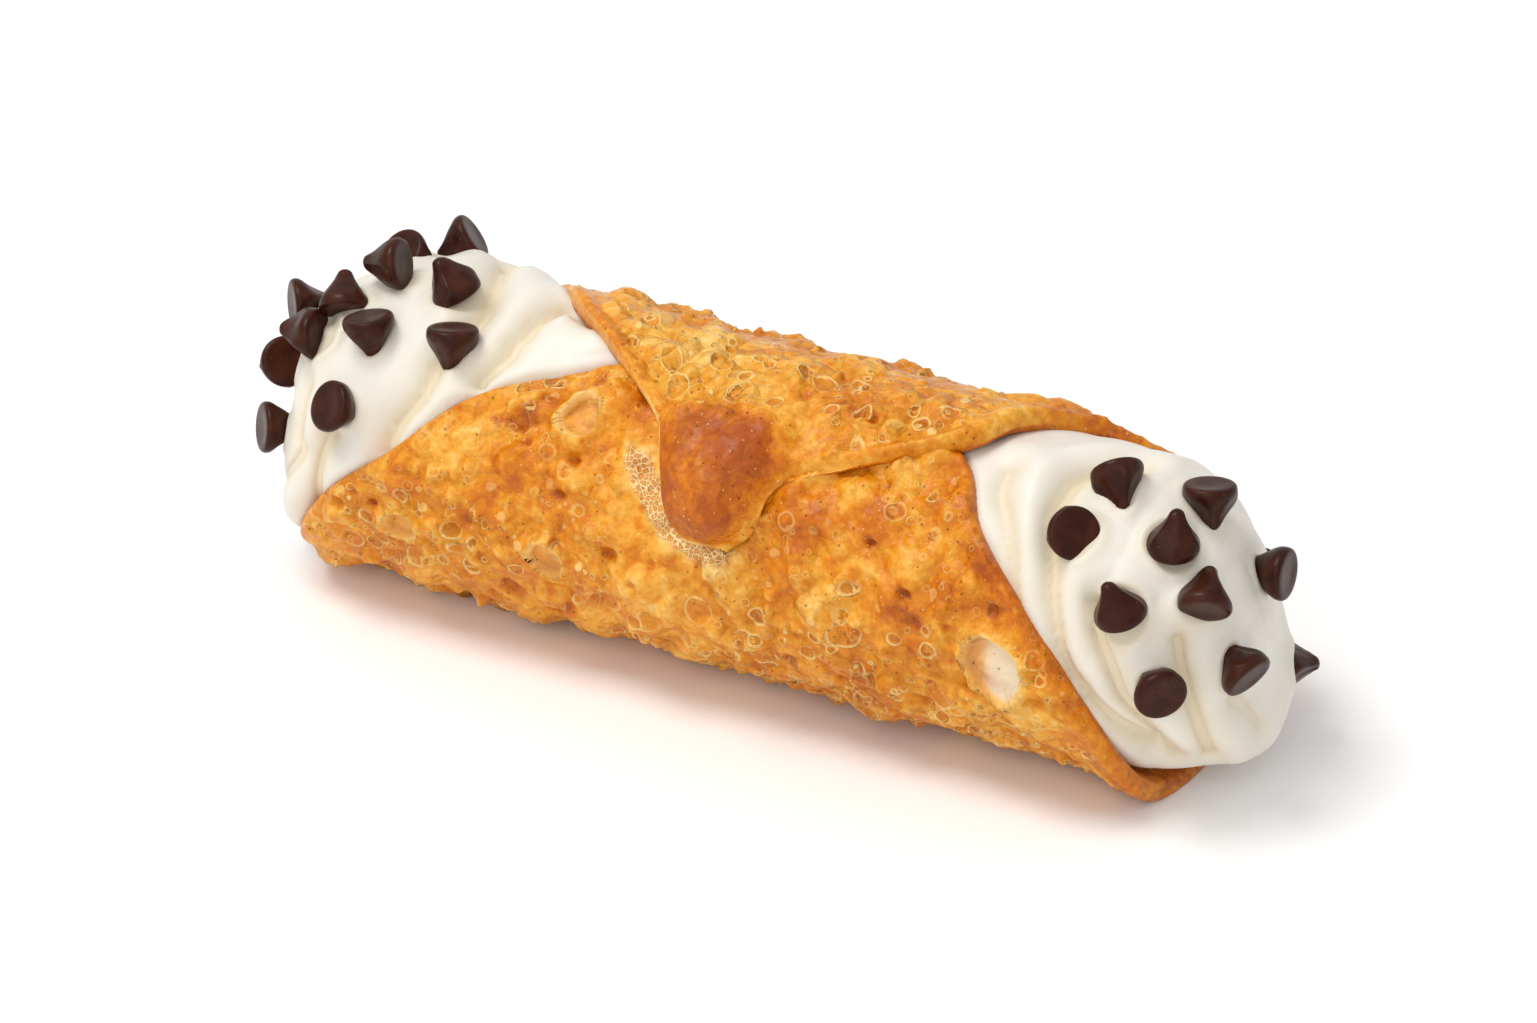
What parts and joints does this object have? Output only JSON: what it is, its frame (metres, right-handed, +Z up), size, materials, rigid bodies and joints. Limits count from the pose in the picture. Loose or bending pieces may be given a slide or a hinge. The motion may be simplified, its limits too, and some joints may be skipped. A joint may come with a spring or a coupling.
{
  "type": "cannoli",
  "caption": "Filled cannoli: a blistered fried dough tube with a lapped tab, piped cream domed at both ends and chocolate chips pressed in.",
  "frame": {"origin": "middle of the small flat that the shell rests on, halfway along the tube", "axes": "+X along the tube towards the end whose opening faces the viewer, -Y towards the tab at the front, +Z up"},
  "size_m": [0.1365, 0.0423, 0.0448],
  "materials": {
    "fried_dough": "crisp fried crust, blistered, slightly oily",
    "cream": "soft piped cream, satin",
    "chocolate": "dark chocolate, satin"
  },
  "bodies": {
    "root": {"shell": "fried_dough", "cream": "cream", "chip_left_01": "chocolate", "chip_left_02": "chocolate", "chip_left_03": "chocolate", "chip_left_04": "chocolate", "chip_left_05": "chocolate", "chip_left_06": "chocolate", "chip_left_07": "chocolate", "chip_left_08": "chocolate", "chip_left_09": "chocolate", "chip_left_10": "chocolate", "chip_left_11": "chocolate", "chip_left_12": "chocolate", "chip_left_13": "chocolate", "chip_left_14": "chocolate", "chip_left_15": "chocolate", "chip_left_16": "chocolate", "chip_left_17": "chocolate", "chip_right_01": "chocolate", "chip_right_02": "chocolate", "chip_right_03": "chocolate", "chip_right_04": "chocolate", "chip_right_05": "chocolate", "chip_right_06": "chocolate", "chip_right_07": "chocolate", "chip_right_08": "chocolate", "chip_right_09": "chocolate", "chip_right_10": "chocolate", "chip_right_11": "chocolate"}
  },
  "joints": []
}
